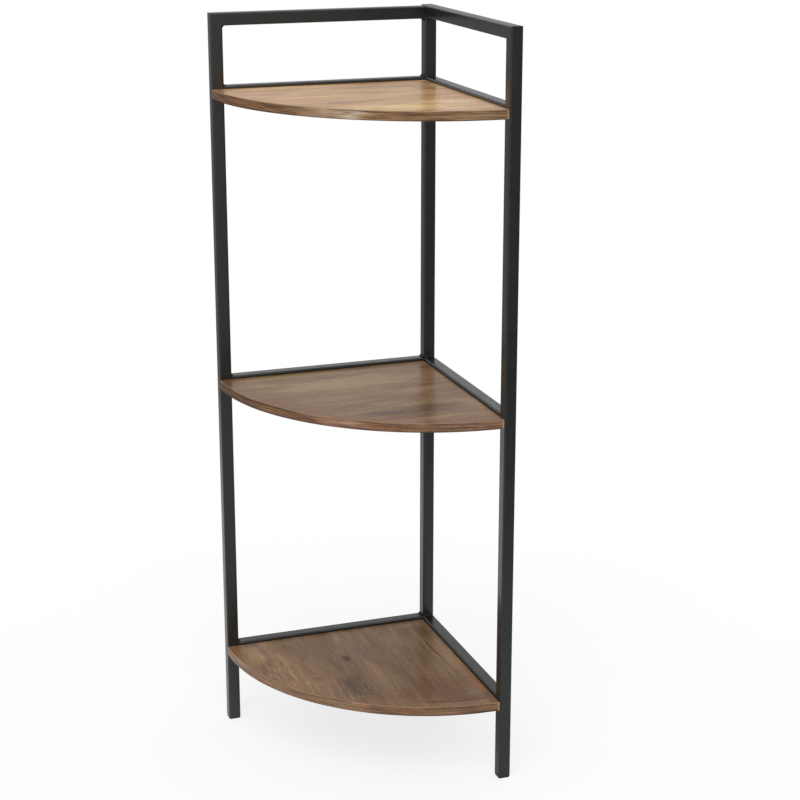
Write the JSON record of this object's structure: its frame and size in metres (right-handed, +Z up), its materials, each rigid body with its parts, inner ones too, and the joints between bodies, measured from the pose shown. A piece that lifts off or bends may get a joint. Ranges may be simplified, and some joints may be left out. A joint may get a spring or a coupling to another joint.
{
  "type": "corner shelf unit",
  "caption": "Narrow free-standing corner shelf unit: square-tube metal frames at a right angle, with quarter-round wooden boards between them.",
  "frame": {"origin": "on the floor, under the middle of the square that the three posts and the room's corner make", "axes": "+Z up; the back post stands at +X +Y, the left frame's wall side faces +Y and the right frame's wall side faces +X; the boards' round edges face -X -Y"},
  "size_m": [0.305, 0.305, 0.978],
  "materials": {
    "black_powder_coat": "semi-gloss black powder coat",
    "black_plastic": "matt black moulded plastic",
    "light_oak_board": "rustic oak decor, light tan, satin",
    "grey_oak_board": "rustic oak decor, grey brown, satin",
    "dark_oak_board": "rustic oak decor, dark grey brown, satin",
    "brown_edging": "reddish brown edging with streaks along it, satin",
    "zinc_steel": "bright zinc plate"
  },
  "bodies": {
    "root": {"left_post": "black_powder_coat", "back_post": "black_powder_coat", "right_post": "black_powder_coat", "left_foot_plug": "black_plastic", "back_foot_plug": "black_plastic", "right_foot_plug": "black_plastic", "left_top_rail": "black_powder_coat", "right_top_rail": "black_powder_coat", "left_lower_shelf_rail": "black_powder_coat", "right_lower_shelf_rail": "black_powder_coat", "left_middle_shelf_rail": "black_powder_coat", "right_middle_shelf_rail": "black_powder_coat", "left_upper_shelf_rail": "black_powder_coat", "right_upper_shelf_rail": "black_powder_coat", "lower_shelf_board": "dark_oak_board", "middle_shelf_board": "grey_oak_board", "upper_shelf_board": "light_oak_board", "lower_shelf_edge_band": "brown_edging", "middle_shelf_edge_band": "brown_edging", "upper_shelf_edge_band": "brown_edging", "lower_left_outer_tab": "black_powder_coat", "lower_left_inner_tab": "black_powder_coat", "lower_right_outer_tab": "black_powder_coat", "lower_right_inner_tab": "black_powder_coat", "middle_left_outer_tab": "black_powder_coat", "middle_left_inner_tab": "black_powder_coat", "middle_right_outer_tab": "black_powder_coat", "middle_right_inner_tab": "black_powder_coat", "upper_left_outer_tab": "black_powder_coat", "upper_left_inner_tab": "black_powder_coat", "upper_right_outer_tab": "black_powder_coat", "upper_right_inner_tab": "black_powder_coat", "lower_left_outer_screw": "zinc_steel", "lower_left_inner_screw": "zinc_steel", "lower_right_outer_screw": "zinc_steel", "lower_right_inner_screw": "zinc_steel", "middle_left_outer_screw": "zinc_steel", "middle_left_inner_screw": "zinc_steel", "middle_right_outer_screw": "zinc_steel", "middle_right_inner_screw": "zinc_steel", "upper_left_outer_screw": "zinc_steel", "upper_left_inner_screw": "zinc_steel", "upper_right_outer_screw": "zinc_steel", "upper_right_inner_screw": "zinc_steel"}
  },
  "joints": []
}
